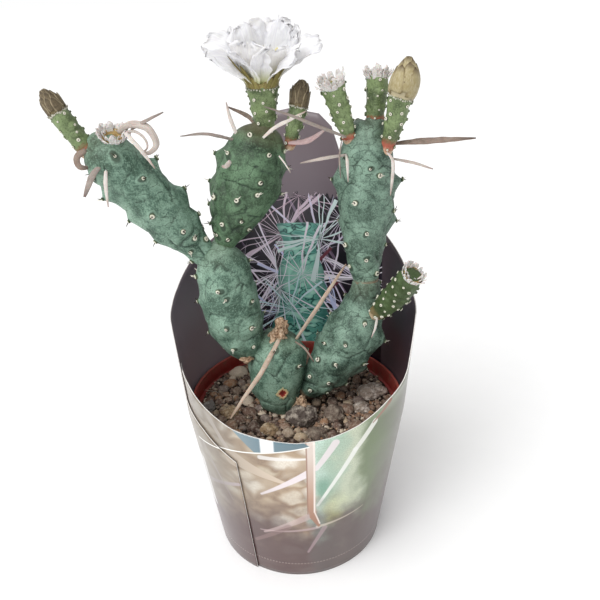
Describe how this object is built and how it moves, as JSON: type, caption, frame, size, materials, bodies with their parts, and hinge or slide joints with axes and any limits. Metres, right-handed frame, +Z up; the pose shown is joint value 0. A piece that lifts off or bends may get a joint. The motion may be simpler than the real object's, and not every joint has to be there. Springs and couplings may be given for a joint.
{
  "type": "potted paper spine cactus",
  "caption": "Jointed cactus with flat papery spines, buds and an open white flower, in a round pot of stony soil inside a flared card sleeve.",
  "frame": {"origin": "centre of the pot's flat base, on the surface it stands on", "axes": "+Z up along the plant, +X to the right and +Y to the back when the low front edge of the sleeve faces the viewer"},
  "size_m": [0.1714, 0.1157, 0.2516],
  "materials": {
    "terracotta_plastic": "thin moulded plastic, satin",
    "printed_card": "laminated card, printed on both sides",
    "soil": "rough gritty cactus compost",
    "stone": "rough dry stone",
    "stem_skin": "waxy matt blue-green stem",
    "tube_skin": "waxy green with white areoles",
    "dry_flower": "dry papery remains",
    "tepal": "matt olive green",
    "petal": "soft translucent white",
    "stamen": "soft yellow",
    "paper_spine": "dry flat papery spine"
  },
  "bodies": {
    "root": {"base_segment": "stem_skin", "card_sleeve": "printed_card", "flower_tube": "tube_skin", "inner_petal_1": "petal", "inner_petal_2": "petal", "inner_petal_3": "petal", "inner_petal_4": "petal", "inner_petal_5": "petal", "inner_petal_6": "petal", "large_bud": "tube_skin", "left_dry_crown": "dry_flower", "left_inner_segment": "stem_skin", "left_lower_segment": "stem_skin", "left_outer_segment": "stem_skin", "left_spent_tube": "tube_skin", "outer_bud": "tube_skin", "outer_dry_crown": "dry_flower", "outer_petal_1": "petal", "outer_petal_2": "petal", "outer_petal_3": "petal", "outer_petal_4": "petal", "outer_petal_5": "petal", "outer_petal_6": "petal", "paper_spine_1": "paper_spine", "paper_spine_10": "paper_spine", "paper_spine_11": "paper_spine", "paper_spine_12": "paper_spine", "paper_spine_13": "paper_spine", "paper_spine_2": "paper_spine", "paper_spine_3": "paper_spine", "paper_spine_4": "paper_spine", "paper_spine_5": "paper_spine", "paper_spine_6": "paper_spine", "paper_spine_7": "paper_spine", "paper_spine_8": "paper_spine", "paper_spine_9": "paper_spine", "pot": "terracotta_plastic", "right_dry_crown": "dry_flower", "right_lower_segment": "stem_skin", "right_spent_tube": "tube_skin", "right_upper_segment": "stem_skin", "side_dry_crown": "dry_flower", "side_fruit": "tube_skin", "small_bud": "tube_skin", "soil": "soil", "stamens": "stamen", "stone_1": "stone", "stone_2": "stone", "stone_3": "stone", "stone_4": "stone", "stone_5": "stone", "stone_6": "stone", "stone_7": "stone", "stone_8": "stone", "style": "stamen", "tepal_1": "tepal", "tepal_2": "tepal", "tepal_3": "tepal", "tepal_4": "tepal", "tepal_5": "tepal"}
  },
  "joints": []
}
